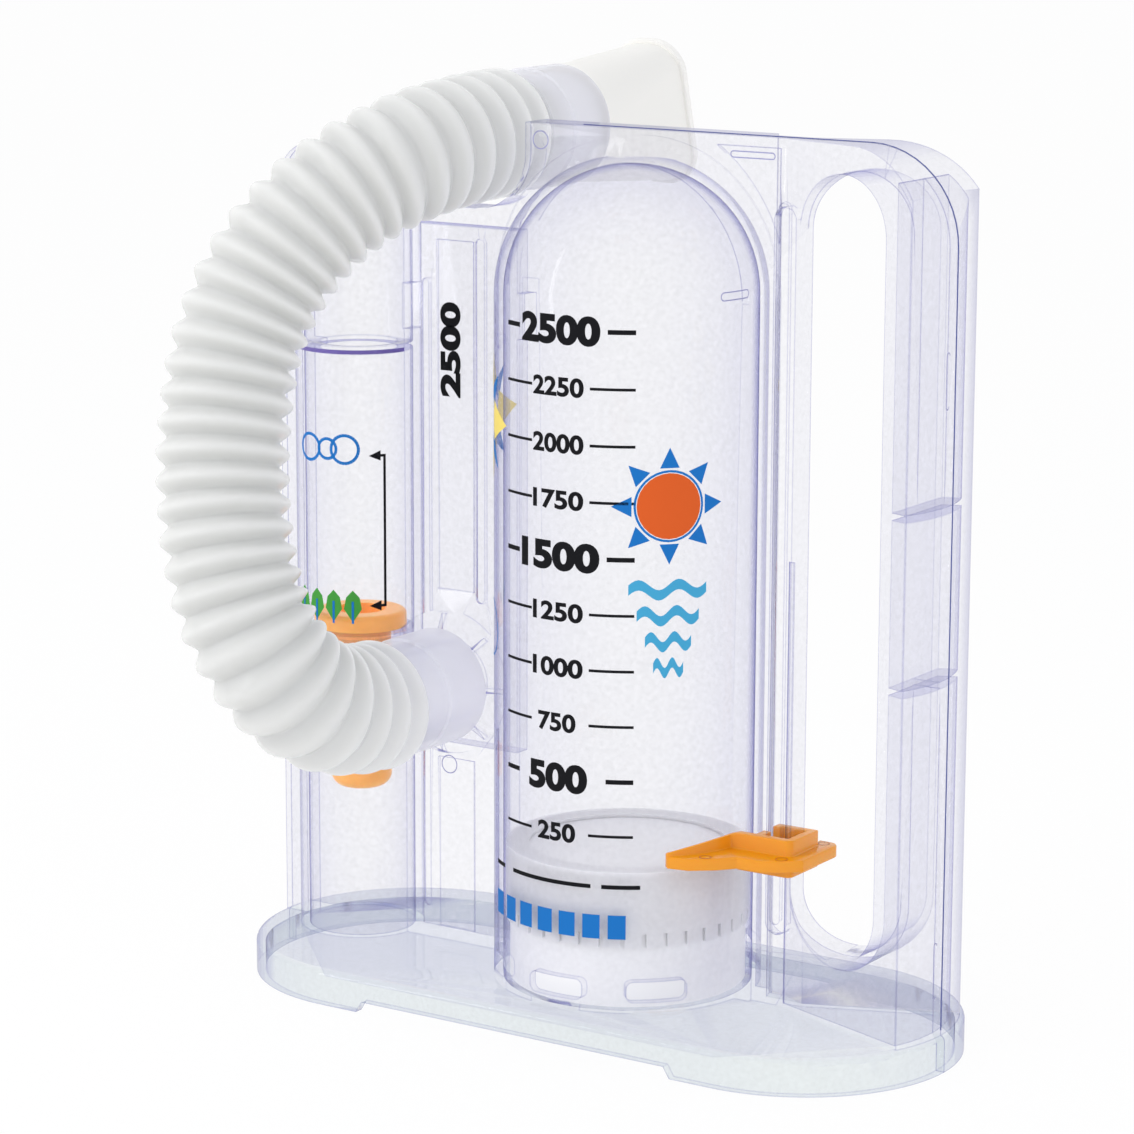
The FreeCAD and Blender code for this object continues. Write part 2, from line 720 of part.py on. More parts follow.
def piston_skirt():
    """The milky sealing ring that caps the piston, slit along its lower edge."""
    body = new_body("piston_skirt")
    thickness = size("skirt_thickness")
    top = size("base_height") + size("piston_rest_gap") + size("piston_height")
    low = size("skirt_low")
    outer = CHAMBER_BORE - size("piston_gap")
    inner = outer - thickness
    rim = outer - size("skirt_rim")
    sketch = new_sketch(body, "skirt_profile", "XZ_Plane", (size("chamber_x"), 0, 0))
    outline(sketch, [
        (inner, low),
        (outer, low),
        (outer, top),
        (rim, top),
        (rim, top - thickness),
        (inner, top - thickness),
    ])
    turned(body, "ring", sketch)
    half = size("skirt_slit_width") / 2
    slit = new_sketch(body, "slit_view", "XZ_Plane", (size("chamber_x"), 0, 0))
    outline(slit, [
        (-half, low - 1),
        (half, low - 1),
        (half, low + size("skirt_slit_height")),
        (-half, low + size("skirt_slit_height")),
    ])
    first = feature(body, "Pocket", "slit", slit, Length=outer + 1, Reversed=True)
    pattern = body.newObject("PartDesign::PolarPattern", "slits")
    pattern.Originals = [first]
    pattern.Axis = (slit, ["V_Axis"])
    pattern.Angle = 360.0
    pattern.Occurrences = 36
    body.Tip = pattern
    return body


def flow_float():
    """The orange float: a hollow stem that hangs through the seat from a wide disc."""
    body = new_body("flow_float")
    disc = size("seat_height") + size("seat_thickness") + size("float_gap")
    top = disc + size("float_disc_thickness")
    low = disc - size("float_stem_length")
    stem, rounding = size("float_stem_radius"), size("float_round")
    wide, edge = size("float_disc_radius"), size("float_disc_thickness") / 3
    sketch = new_sketch(body, "float_profile", "XZ_Plane", (size("flow_x"), 0, 0))
    outline(sketch, [
        (as_size(0), low),
        (stem - rounding, low, rounding, True),
        (stem, low + rounding),
        (stem, disc),
        (wide, disc),
        (wide, top - edge, edge, True),
        (wide - edge, top),
        (stem - size("float_wall"), top),
        (stem - size("float_wall"), low + rounding),
        (as_size(0), low + rounding),
    ])
    turned(body, "float", sketch)
    return body


def float_seat():
    """The ring that the float's disc comes down on, held in the flow tube."""
    body = new_body("float_seat")
    low, high = size("seat_height"), size("seat_height") + size("seat_thickness")
    sketch = new_sketch(body, "seat_profile", "XZ_Plane", (size("flow_x"), 0, 0))
    outline(sketch, [
        (size("seat_opening"), low),
        (FLOW_BORE, low),
        (FLOW_BORE, high),
        (size("seat_opening"), high),
    ])
    turned(body, "seat", sketch)
    return body


def pointer():
    """The goal marker: a clip around the rail, with an arm that hugs the chamber."""
    body = new_body("pointer")
    gap, clip, corner = size("slide_gap"), size("clip_wall"), size("clip_corner")
    inner_left, inner_right = RAIL_LEFT - gap, size("slot_left") + gap
    outer_left, outer_right = inner_left - clip, inner_right + clip
    inner_front = -(size("web_front") + size("rail_height") + gap)
    outer_front = inner_front - clip - gap
    inner_rear = size("web_front") + gap
    outer_rear = inner_rear + clip
    lip = -(size("web_front") + gap)
    reach = size("chamber_radius") + size("pointer_gap")
    rib_reach = reach + size("arm_rib")
    arm_left = outer_left - clip - corner
    arm_rear = inner_front + corner
    angle = math.radians(sheet.get("pointer_angle"))
    x = size("chamber_x")
    tip_x, tip_y = x + reach * math.sin(angle), -reach * math.cos(angle)
    rib_tip_x, rib_tip_y = x + rib_reach * math.sin(angle), -rib_reach * math.cos(angle)

    ring = new_sketch(body, "clip_plan", "XY_Plane", (0, 0, size("clip_low")))
    outline(ring, [
        (arm_left, outer_front),
        (outer_right - corner, outer_front, corner, True),
        (outer_right, outer_front + corner),
        (outer_right, outer_rear),
        (outer_left, outer_rear),
        (outer_left, inner_rear - size("clip_hook")),
        (inner_left, inner_rear - size("clip_hook")),
        (inner_left, inner_rear),
        (inner_right, inner_rear),
        (inner_right, inner_front),
        (inner_left, inner_front),
        (inner_left, lip),
        (outer_left, lip),
        (outer_left, inner_front),
        (arm_left, inner_front),
    ])
    pad(body, "clip", ring, size("clip_height"))

    plate_low = size("clip_low") + size("plate_rise")
    front = outer_front - size("ledge")
    right, rear, round_off = size("lobe_right"), size("lobe_rear"), size("lobe_corner")
    plate = new_sketch(body, "plate_plan", "XY_Plane", (0, 0, plate_low))
    outline(plate, [
        (tip_x, tip_y),
        (rib_tip_x, rib_tip_y),
        (tip_x + clip * 3, tip_y),
        (outer_left - clip * 1.5, front - clip * 2),
        (outer_left, front - gap),
        (inner_right - corner, front),
        (right - round_off, front + round_off),
        (right, front + round_off * 2),
        (right, rear - round_off, round_off, True),
        (right - round_off, rear),
        (inner_right, rear),
        (inner_right, inner_front),
        (inner_left, inner_front),
        (inner_left, lip),
        (outer_left, lip),
        (outer_left, arm_rear),
        (x + root(reach * reach - arm_rear * arm_rear), arm_rear, reach, False),
    ])
    pad(body, "plate", plate, size("plate_thickness"))

    rib = new_sketch(body, "arm_rib_plan", "XY_Plane", (0, 0, plate_low))
    outline(rib, [
        (tip_x, tip_y),
        (rib_tip_x, rib_tip_y, rib_reach, True),
        (x + root(rib_reach * rib_reach - outer_front * outer_front), outer_front),
        (arm_left + corner, outer_front),
        (arm_left + corner, inner_front),
        (x + root(reach * reach - inner_front * inner_front), inner_front, reach, False),
    ])
    rib_height = size("clip_height") - size("plate_rise")
    pad(body, "arm_rib", rib, rib_height)
    slope = new_sketch(body, "arm_slope_view", "XZ_Plane")
    top = size("clip_low") + size("clip_height")
    outline(slope, [
        (tip_x - corner, plate_low + size("plate_thickness")),
        (arm_left, top),
        (arm_left, top + 1),
        (tip_x - corner, top + 1),
    ])
    pocket_both_ways(body, "arm_slope", slope)
    return body


def cuff(name, hose_end, bore, radius, length):
    """A smooth cuff along Y from the hose's end, stepped up towards its mouth."""
    body = new_body(name)
    x, y, z = hose_end
    start_y = as_size(y)
    turn = start_y + length * size("cuff_step_part")
    end_y = start_y + length
    inner_step = radius - size("cuff_step")
    sketch = new_sketch(body, name + "_profile", "XY_Plane", (x, 0, z))
    corners = [
        (bore, start_y),
        (inner_step, start_y),
        (inner_step, turn),
        (radius, turn + size("cuff_step")),
        (radius, end_y),
        (bore, end_y),
    ]
    outline(sketch, corners)
    turned(body, name + "_wall", sketch)
    return body


def hose_wire(points):
    """Straight runs joined by arcs that touch them. Prints each arc's radius."""
    points = [FreeCAD.Vector(*point) for point in points]
    edges = []
    start = points[0]
    for before, corner, after in zip(points, points[1:], points[2:]):
        arrive, leave = corner - before, after - corner
        turn = arrive.getAngle(leave)
        setback = 0.45 * min(arrive.Length, leave.Length)
        radius = setback / math.tan(turn / 2)
        print("hose arc radius %.1f mm, turn %.0f degrees" % (radius, math.degrees(turn)))
        arrive.normalize()
        leave.normalize()
        first, last = corner - arrive * setback, corner + leave * setback
        inward = (leave - arrive).normalize()
        centre = corner + inward * (radius / math.cos(turn / 2))
        middle = centre - inward * radius
        edges.append(Part.LineSegment(start, first).toShape())
        edges.append(Part.Arc(first, middle, last).toShape())
        start = last
    edges.append(Part.LineSegment(start, points[-1]).toShape())
    return Part.Wire(edges)


def hose():
    """The corrugated hose as a plain bent tube of its outer and inner radius."""
    wire = hose_wire(HOSE_ROUTE)
    start = FreeCAD.Vector(*HOSE_ROUTE[0])
    outward = FreeCAD.Vector(*HOSE_ROUTE[1]) - start
    solids = []
    for alias in ("hose_radius", "hose_bore"):
        rim = Part.Wire(Part.Circle(start, outward, sheet.get(alias)).toShape())
        solids.append(wire.makePipeShell([rim], True, False))
    tube = doc.addObject("Part::Feature", "hose")
    tube.Label = "hose"
    tube.Shape = solids[0].cut(solids[1])
    section = math.pi * (sheet.get("hose_radius") ** 2 - sheet.get("hose_bore") ** 2)
    print("hose length %.1f mm, volume %.0f, section times length %.0f" % (
        wire.Length, tube.Shape.Volume, section * wire.Length))
    return tube


def rounded_section(body, name, level, half_width, half_height, corner, tilt=False):
    """A rounded rectangle across the mouthpiece's own axis."""
    sketch = new_sketch(body, name, "XY_Plane")
    if tilt:
        angle = FreeCAD.Rotation(FreeCAD.Vector(1, 0, 0), sheet.get("mouth_tilt"))
        sketch.AttachmentOffset = FreeCAD.Placement(FreeCAD.Vector(), angle)
    bind(sketch, "AttachmentOffset.Base.z", level)
    across, along = half_width - corner, half_height - corner
    outline(sketch, [
        (-across, -half_height),
        (across, -half_height, corner, True),
        (half_width, -along),
        (half_width, along, corner, True),
        (across, half_height),
        (-across, half_height, corner, True),
        (-half_width, along),
        (-half_width, -along, corner, True),
    ])
    return sketch


def loft(body, kind, name, low, high):
    thing = body.newObject("PartDesign::" + kind, name)
    thing.Profile = low
    thing.Sections = [(high, [""])]
    return thing


def mouthpiece():
    """A flattened mouthpiece: a round plug in the cuff that flares into an upright oval."""
    body = new_body("mouthpiece")
    wall, length = size("mouth_wall"), size("mouth_length")
    plug = size("upper_cuff_bore") - size("cuff_gap")
    seat = size("upper_cuff_radius") - size("cuff_step")
    flat = size("cuff_gap")
    wide, tall, corner = size("mouth_half_width"), size("mouth_half_height"), size("mouth_corner")
    low = rounded_section(body, "seat_section", as_size(0), seat, seat, seat - flat)
    high = rounded_section(body, "lip_section", length, wide, tall, corner, tilt=True)
    loft(body, "AdditiveLoft", "blade", low, high)
    lip = size("mouth_lip")
    rim = rounded_section(body, "rim_section", length, wide + lip, tall + lip, corner + lip, tilt=True)
    pad(body, "lip", rim, size("mouth_lip_length"))
    shank = new_sketch(body, "plug_section", "XY_Plane")
    circle(shank, 0, 0, plug)
    pad(body, "plug", shank, size("mouth_plug_length"), reverse=True)
    past = length + size("mouth_lip_length") * 2
    inner = plug - wall
    low = rounded_section(body, "inner_seat_section", as_size(0), inner, inner, inner - flat)
    wide, tall, corner = wide - wall, tall - wall, corner - wall
    high = rounded_section(body, "inner_lip_section", past, wide, tall, corner, tilt=True)
    loft(body, "SubtractiveLoft", "hollow", low, high)
    bore = new_sketch(body, "plug_bore_section", "XY_Plane", (0, 0, flat))
    circle(bore, 0, 0, inner)
    pocket(body, "plug_bore", bore, size("mouth_plug_length") + 1)
    x, y, z = HOSE_ROUTE[-1]
    seat_y = y + sheet.get("upper_cuff_length")
    lay_back = FreeCAD.Rotation(FreeCAD.Vector(1, 0, 0), -90)
    body.Placement = FreeCAD.Placement(FreeCAD.Vector(x, seat_y, z), lay_back)
    return body


def lower_cuff():
    """The cuff that grips the connector, from the hose to the gussets."""
    free = size("web_front") + size("boss_height") + size("gusset_reach") + size("slide_gap")
    length = as_size(-HOSE_ROUTE[0][1]) - free
    bore = size("connector_radius") + size("cuff_gap")
    return cuff("lower_cuff", HOSE_ROUTE[0], bore, size("lower_cuff_radius"), length)


def upper_cuff():
    """The cuff that holds the mouthpiece, behind the cradle."""
    bore, radius = size("upper_cuff_bore"), size("upper_cuff_radius")
    return cuff("upper_cuff", HOSE_ROUTE[-1], bore, radius, size("upper_cuff_length"))


pieces = [
    shell("front_shell", -1),
    shell("rear_shell", 1),
    slide_piston(),
    piston_skirt(),
    flow_float(),
    float_seat(),
    pointer(),
    lower_cuff(),
    hose(),
    upper_cuff(),
    mouthpiece(),
]
doc.recompute()
for thing in doc.Objects:
    if "Invalid" in thing.State or "Error" in thing.State:
        raise SystemExit("%s failed: %s" % (thing.Name, thing.State))
for piece in pieces:
    if piece.Shape.isNull() or not piece.Shape.isValid():
        raise SystemExit("%s has no valid shape" % piece.Label)
for piece in pieces:
    piece.Shape.exportStep("parts/%s.step" % piece.Label)
    print("%s: %d solid, %.0f cubic millimetres" % (piece.Label, len(piece.Shape.Solids), piece.Shape.Volume))
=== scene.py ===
import math

import bmesh
import bpy
from mathutils import Euler, Matrix, Vector
from mathutils.geometry import area_tri, delaunay_2d_cdt


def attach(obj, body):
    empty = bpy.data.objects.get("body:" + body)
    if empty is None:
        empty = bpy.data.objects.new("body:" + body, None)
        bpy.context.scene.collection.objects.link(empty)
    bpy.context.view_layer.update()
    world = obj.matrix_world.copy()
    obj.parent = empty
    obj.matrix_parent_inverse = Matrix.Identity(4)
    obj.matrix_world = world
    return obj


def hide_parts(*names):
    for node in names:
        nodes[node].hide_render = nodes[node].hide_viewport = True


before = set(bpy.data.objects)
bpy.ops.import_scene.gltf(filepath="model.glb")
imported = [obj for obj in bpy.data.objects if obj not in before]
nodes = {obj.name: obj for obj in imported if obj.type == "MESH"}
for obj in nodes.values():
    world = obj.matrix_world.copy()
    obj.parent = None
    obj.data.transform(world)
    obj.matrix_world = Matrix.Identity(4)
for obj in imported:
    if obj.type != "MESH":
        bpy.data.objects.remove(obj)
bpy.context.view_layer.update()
MM = 0.001


# Clear body: two shells injection-moulded in clear styrene and welded together along the
# parting plane Y = 0, so light passes from one to the other as through one wall. Steeply seen
# walls look lavender, partly from the plastic's own faint colour and partly as painted shade,
# the moulded edges carry a darker painted shade, and the faces have a faint grain.
CLEAR = (0.985, 0.985, 0.993)
# Seen half turned and edge on: partly the plastic's own faint colour, partly painted shade.
CLEAR_MIDDLE = (0.94, 0.94, 0.975)
MIDDLE_AT = 0.66
CLEAR_EDGE_ON_COLOUR_AND_SHADE = (0.42, 0.42, 0.72)
# Painted shade laid along the moulded edges and corners, and how much of it.
CLEAR_CORNER_SHADE = (0.44, 0.44, 0.70)
CORNER_SHADE_SHARE = 0.8
CORNER_STARTS = 0.95
CORNER_FULL = 0.80
CLEAR_SHADOW = (0.985, 0.985, 0.99)
BASE_TINT = (0.93, 0.955, 0.95)
BASE_TOP = 8.0 * MM
BASE_BLEND = 0.5 * MM
EDGE_ROUNDING = 0.5 * MM
GRAIN_PER_METRE = 900.0
GRAIN_FROM = 0.35
GRAIN_TO = 0.65
GRAIN_DARKEST = 0.975
SHINE_ROUGHNESS = 0.06
SHINE_IOR = 1.35
HAZE = 0.04
ON_PLANE = 0.001 * MM
SAME_POINT = 0.004
SAME_SEAM_POINT = 0.02
THINNEST = 0.05
BODY_SMOOTH = 16


def feed(tree, node, *values, **named):
    """Give a node's inputs their values or other nodes' outputs, in turn or by name.

    In a name, _ stands for a space.
    """
    sockets = [*node.inputs[:len(values)], *(node.inputs[key.replace("_", " ")] for key in named)]
    for socket, value in zip(sockets, [*values, *named.values()]):
        if isinstance(value, bpy.types.NodeSocket):
            tree.links.new(value, socket)
        else:
            socket.default_value = (*value, 1) if socket.type == "RGBA" else value


def add(tree, kind, *values, **named):
    """A new node, fed. Names in small letters are the node's own settings."""
    node = tree.nodes.new(kind)
    for key in [key for key in named if key.islower()]:
        setattr(node, key, named.pop(key))
    feed(tree, node, *values, **named)
    return node


def plastic(name, colour, roughness, **inputs):
    """A named material with one Principled shader."""
    material = bpy.data.materials.new(name)
    material.use_nodes = True
    tree = material.node_tree
    feed(tree, shader_of(material), Base_Color=colour, Roughness=roughness, **inputs)
    return material


def shader_of(material):
    return material.node_tree.nodes["Principled BSDF"]


def surface_of(material):
    return material.node_tree.nodes["Material Output"].inputs["Surface"]


def let_shadows_through(material, colour):
    """Light reaches what stands inside clear plastic, faintly tinted."""
    tree = material.node_tree
    surface = surface_of(material)
    path = add(tree, "ShaderNodeLightPath")
    clear = add(tree, "ShaderNodeBsdfTransparent", Color=colour)
    mix = add(
        tree, "ShaderNodeMixShader",
        path.outputs["Is Shadow Ray"], surface.links[0].from_socket, clear.outputs[0],
    )
    tree.links.new(mix.outputs[0], surface)


def see_through(material):
    """Clear plastic is colourless seen straight through and darker where it is seen edge on, partly
    from its own faint colour and partly as painted shade.

    Its moulded edges are darker still with painted shade, its faces faintly grained, and only outer
    faces shine.
    """
    tree = material.node_tree
    # Partly the plastic's own colour, partly painted shade: walls grow lavender as they turn edge
    # on.
    view = add(tree, "ShaderNodeLayerWeight", Blend=0.5)
    ramp = add(tree, "ShaderNodeValToRGB", view.outputs["Facing"])
    ramp.color_ramp.elements[0].color = (*CLEAR, 1)
    ramp.color_ramp.elements[1].color = (*CLEAR_EDGE_ON_COLOUR_AND_SHADE, 1)
    ramp.color_ramp.elements.new(MIDDLE_AT).color = (*CLEAR_MIDDLE, 1)

    # Painted shade: a darker lavender along every moulded edge and corner.
    rounded = add(tree, "ShaderNodeBevel", samples=3, Radius=EDGE_ROUNDING)
    side = add(tree, "ShaderNodeNewGeometry")
    likeness = add(
        tree, "ShaderNodeVectorMath", rounded.outputs["Normal"], side.outputs["Normal"],
        operation="DOT_PRODUCT",
    )
    corner = add(
        tree, "ShaderNodeMapRange", likeness.outputs["Value"],
        From_Min=CORNER_STARTS, From_Max=CORNER_FULL, To_Max=CORNER_SHADE_SHARE,
    )
    corner_shaded = add(
        tree, "ShaderNodeMix", data_type="RGBA",
        Factor=corner.outputs["Result"], A=ramp.outputs["Color"], B=CLEAR_CORNER_SHADE,
    )

    place = add(tree, "ShaderNodeTexCoord")
    grain = add(
        tree, "ShaderNodeTexNoise",
        Vector=place.outputs["Object"], Scale=GRAIN_PER_METRE, Detail=1.0,
    )
    level = add(
        tree, "ShaderNodeMapRange", grain.outputs["Fac"],
        From_Min=GRAIN_FROM, From_Max=GRAIN_TO, To_Min=GRAIN_DARKEST,
    )
    grained = add(
        tree, "ShaderNodeMix", data_type="RGBA", blend_type="MULTIPLY",
        Factor=1.0, A=corner_shaded.outputs["Result"], B=level.outputs["Result"],
    )
    axes = add(tree, "ShaderNodeSeparateXYZ", place.outputs["Object"])
    low = add(
        tree, "ShaderNodeMapRange", axes.outputs["Z"],
        From_Min=BASE_TOP + BASE_BLEND, From_Max=BASE_TOP - BASE_BLEND,
    )
    based = add(
        tree, "ShaderNodeMix", data_type="RGBA", blend_type="MULTIPLY",
        Factor=low.outputs["Result"], A=grained.outputs["Result"], B=BASE_TINT,
    )
    colour = based.outputs["Result"]
    feed(tree, shader_of(material), Base_Color=colour)

    through = add(tree, "ShaderNodeBsdfTransparent", Color=colour)
    shine = add(tree, "ShaderNodeBsdfGlossy", Roughness=SHINE_ROUGHNESS)
    fresnel = add(tree, "ShaderNodeFresnel", IOR=SHINE_IOR)
    outer = add(tree, "ShaderNodeMath", 1.0, side.outputs["Backfacing"], operation="SUBTRACT")
    share = add(
        tree, "ShaderNodeMath", fresnel.outputs["Fac"], outer.outputs[0], operation="MULTIPLY",
    )
    wall = add(
        tree, "ShaderNodeMixShader", share.outputs[0], through.outputs[0], shine.outputs[0],
    )
    haze = add(
        tree, "ShaderNodeMixShader", HAZE, wall.outputs[0], shader_of(material).outputs[0],
    )
    tree.links.new(haze.outputs[0], surface_of(material))
    let_shadows_through(material, CLEAR_SHADOW)


def mesh_of(name, form):
    """The finished mesh of a bmesh, which is then freed."""
    mesh = bpy.data.meshes.new(name)
    form.to_mesh(mesh)
    form.free()
    return mesh


def smooth(mesh, degrees):
    mesh.polygons.foreach_set("use_smooth", [True] * len(mesh.polygons))
    mesh.set_sharp_from_angle(angle=math.radians(degrees))


def thing(name, data):
    made = bpy.data.objects.new(name, data)
    bpy.context.scene.collection.objects.link(made)
    return made


def piece(name, mesh, material):
    """A finished object of the scene, at the origin, in its material."""
    mesh.materials.clear()
    mesh.materials.append(material)
    return thing(name, mesh)


clear_plastic = plastic("clear_plastic", CLEAR, 0.3, Transmission_Weight=0.6, IOR=1.1)
see_through(clear_plastic)

shells = bmesh.new()
for shell in ("front_shell", "rear_shell"):
    shells.from_mesh(nodes[shell].data)
bmesh.ops.remove_doubles(shells, verts=shells.verts, dist=SAME_POINT * MM)
# Where both shells touch, their joint faces melt into one wall. Where only one of them has
# plastic, as round the air channel behind the web, its face stays.
joint = [f for f in shells.faces if all(abs(v.co.y) < ON_PLANE for v in f.verts)]
flat_points = []
outlines = []
for face in joint:
    turned = reversed(face.verts) if face.normal.y > 0 else face.verts
    outlines.append(list(range(len(flat_points), len(flat_points) + len(face.verts))))
    flat_points.extend(Vector((v.co.x, v.co.z)) / MM for v in turned)
from_front = [face.normal.y > 0 for face in joint]
cut = delaunay_2d_cdt(flat_points, [], outlines, 0, SAME_POINT)
cut_points, cut_faces, cut_origins = cut[0], cut[2], cut[5]
bmesh.ops.delete(shells, geom=joint, context="FACES")
joint_verts = {}
for face, origins in zip(cut_faces, cut_origins):
    sides = {from_front[i] for i in origins}
    points = [cut_points[i] for i in face]
    longest = max((points[i] - points[i - 1]).length for i in range(3))
    if len(sides) != 1 or area_tri(*points) < THINNEST * longest:
        continue
    for i in face:
        if i not in joint_verts:
            joint_verts[i] = shells.verts.new((cut_points[i].x * MM, 0, cut_points[i].y * MM))
    kept = shells.faces.new([joint_verts[i] for i in face])
    kept.normal_update()
    if (kept.normal.y > 0) != sides.pop():
        kept.normal_flip()
seam = [v for v in shells.verts if abs(v.co.y) < ON_PLANE]
bmesh.ops.remove_doubles(shells, verts=seam, dist=SAME_SEAM_POINT * MM)
clear_mesh = mesh_of("clear_body", shells)
smooth(clear_mesh, BODY_SMOOTH)
clear_body = piece("clear_body", clear_mesh, clear_plastic)
clear_body.modifiers.new("even_normals", "WEIGHTED_NORMAL").keep_sharp = True
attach(clear_body, "body")
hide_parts("front_shell", "rear_shell")


# Parting line: where the welded halves meet, the joint shows from outside as a thin dark
# blue line, up the right side, round the corner and along the top to the cradle.
SEAM_FOOT = 9.0
SEAM_RIGHT = 84.15
SEAM_TOP = 191.45
SEAM_LEFT = -5.0
SEAM_CORNER = 20.0
SEAM_STEPS = 12
SEAM_RADIUS = 0.16


def baked(draft):
    """The mesh of an object with its curve or modifiers applied; the object goes."""
    depsgraph = bpy.context.evaluated_depsgraph_get()
    mesh = bpy.data.meshes.new_from_object(draft.evaluated_get(depsgraph))
    bpy.data.objects.remove(draft)
    return mesh


seam_ink = plastic("seam_ink", (0.07, 0.09, 0.30), 0.4)
seam_points = [(SEAM_RIGHT, SEAM_FOOT)]
for step in range(SEAM_STEPS + 1):
    angle = math.radians(90 * step / SEAM_STEPS)
    seam_points.append((
        SEAM_RIGHT - SEAM_CORNER * (1 - math.cos(angle)),
        SEAM_TOP - SEAM_CORNER * (1 - math.sin(angle)),
    ))
seam_points.append((SEAM_LEFT, SEAM_TOP))
seam_curve = bpy.data.curves.new("parting_line", "CURVE")
seam_curve.dimensions = "3D"
seam_curve.bevel_depth = SEAM_RADIUS * MM
seam_curve.bevel_resolution = 1
seam_line = seam_curve.splines.new("POLY")
seam_line.points.add(len(seam_points) - 1)
for point, (x, z) in zip(seam_line.points, seam_points):
    point.co = (x * MM, 0, z * MM, 1)
seam_mesh = baked(thing("parting_line", seam_curve))
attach(piece("parting_line", seam_mesh, seam_ink), "body")


# Piston: a white polystyrene cup that slides in the chamber, capped by a thin milky ring
# whose slit edge wipes the bore.
def dress(node, material):
    """Give a solid of the CAD its material."""
    nodes[node].data.materials.clear()
    nodes[node].data.materials.append(material)


EVEN_SCATTER = (1, 1, 1)
dress("piston", plastic(
    "white_piston", (0.88, 0.875, 0.875), 0.4,
    Subsurface_Weight=0.5, Subsurface_Scale=0.003, Subsurface_Radius=EVEN_SCATTER,
))
dress("piston_skirt", plastic(
    "milky_skirt", (0.84, 0.835, 0.845), 0.4,
    Subsurface_Weight=0.6, Subsurface_Scale=0.003, Subsurface_Radius=EVEN_SCATTER,
))


# Float: thin orange styrene, a cup on a stem, light enough to hover in the draught. Its glow,
# from light through the thin walls, is painted as a faint orange emission. It rests on a clear
# ring in the flow tube.
dress("flow_float", plastic(
    "orange_float_painted_glow", (0.95, 0.43, 0.08), 0.3, Subsurface_Weight=0.5, Subsurface_Scale=0.003,
    Emission_Strength=0.12, Emission_Color=(0.95, 0.35, 0.05),
))
dress("float_seat", clear_plastic)


# Goal pointer: glossy orange styrene with its moulded edges just broken, clipped to the rail
# of the front shell. Three ejector pins have left round marks on its upper face, drawn as rings
# of painted shade.
POINTER_EDGE = 0.3
POINTER_BEVEL_FROM = 35
POINTER_SMOOTH = 40
POINTER_MERGE = 0.002
POINTER_TOP = 42.6
POINTER_MARKS = ((37.0, -16.9), (51.0, -9.5), (52.2, 6.1))
POINTER_MARK_RADIUS = 1.2
POINTER_MARK_LINE = 0.22
INK_LIFT = 0.05


def flat_shape(ink, corners):
    """One flat face of a print or mark."""
    ink.faces.new([ink.verts.new((x, y, 0)) for x, y in corners])


def ribbon(ink, points, thick):
    """A line of one thickness through flat points, as quads."""
    for (x0, y0), (x1, y1) in zip(points, points[1:]):
        run = math.hypot(x1 - x0, y1 - y0)
        ox, oy = -(y1 - y0) / run * thick / 2, (x1 - x0) / run * thick / 2
        flat_shape(ink, [
            (x0 - ox, y0 - oy), (x1 - ox, y1 - oy), (x1 + ox, y1 + oy), (x0 + ox, y0 + oy),
        ])


def circle(x, y, radius, count, closed=False):
    """Points round a centre, the first one again at the end if it is to close."""
    return [
        (x + radius * math.cos(2 * math.pi * i / count),
         y + radius * math.sin(2 * math.pi * i / count))
        for i in range(count + closed)
    ]


def ring(ink, x, y, radius, thick):
    ribbon(ink, circle(x, y, radius, 32, closed=True), thick)


def placed(name, ink, place, material, body="body"):
    """Flat ink put where place takes its x and y, in millimetres."""
    for v in ink.verts:
        v.co = Vector(place(v.co.x, v.co.y)) * MM
    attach(piece(name, mesh_of(name, ink), material), body)


orange_pointer = plastic(
    "orange_pointer", (0.80, 0.30, 0.006), 0.2, Subsurface_Weight=0.15, Subsurface_Scale=0.002,
)
form = bmesh.new()
form.from_mesh(nodes["pointer"].data)
bmesh.ops.remove_doubles(form, verts=form.verts, dist=POINTER_MERGE * MM)
bmesh.ops.dissolve_limit(form, angle_limit=math.radians(1), verts=form.verts, edges=form.edges)
draft = piece("pointer_draft", mesh_of("pointer_form", form), orange_pointer)
bevel = draft.modifiers.new("edges", "BEVEL")
bevel.width = POINTER_EDGE * MM
bevel.segments = 3
bevel.limit_method = "ANGLE"
bevel.angle_limit = math.radians(POINTER_BEVEL_FROM)
pointer_mesh = baked(draft)
smooth(pointer_mesh, POINTER_SMOOTH)
pointer = piece("pointer_form", pointer_mesh, orange_pointer)
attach(pointer, "goal")
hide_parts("pointer")

dimples = bmesh.new()
for x, y in POINTER_MARKS:
    ring(dimples, x, y, POINTER_MARK_RADIUS, POINTER_MARK_LINE)
dimple_rim_shade = plastic("dimple_rim_shade", (0.48, 0.11, 0.008), 0.4)
placed(
    "pointer_marks", dimples, lambda x, y: (x, y, POINTER_TOP + INK_LIFT), dimple_rim_shade, "goal",
)


# Cuffs: the smooth milky ends of the hose, pushed on the connector and the mouthpiece, thin
# enough for the connector to show through.
CUFF_CLEARNESS = 0.5
cuff_plastic = plastic(
    "milky_cuff", (0.95, 0.95, 0.96), 0.3,
    Subsurface_Weight=0.6, Subsurface_Scale=0.004, Subsurface_Radius=EVEN_SCATTER,
)
cuff_tree = cuff_plastic.node_tree
cuff_through = add(cuff_tree, "ShaderNodeBsdfTransparent", Color=(0.90, 0.90, 0.95))
cuff_mix = add(
    cuff_tree, "ShaderNodeMixShader",
    CUFF_CLEARNESS, shader_of(cuff_plastic).outputs[0], cuff_through.outputs[0],
)
cuff_tree.links.new(cuff_mix.outputs[0], surface_of(cuff_plastic))
let_shadows_through(cuff_plastic, (0.85, 0.85, 0.88))
dress("lower_cuff", cuff_plastic)
dress("upper_cuff", cuff_plastic)


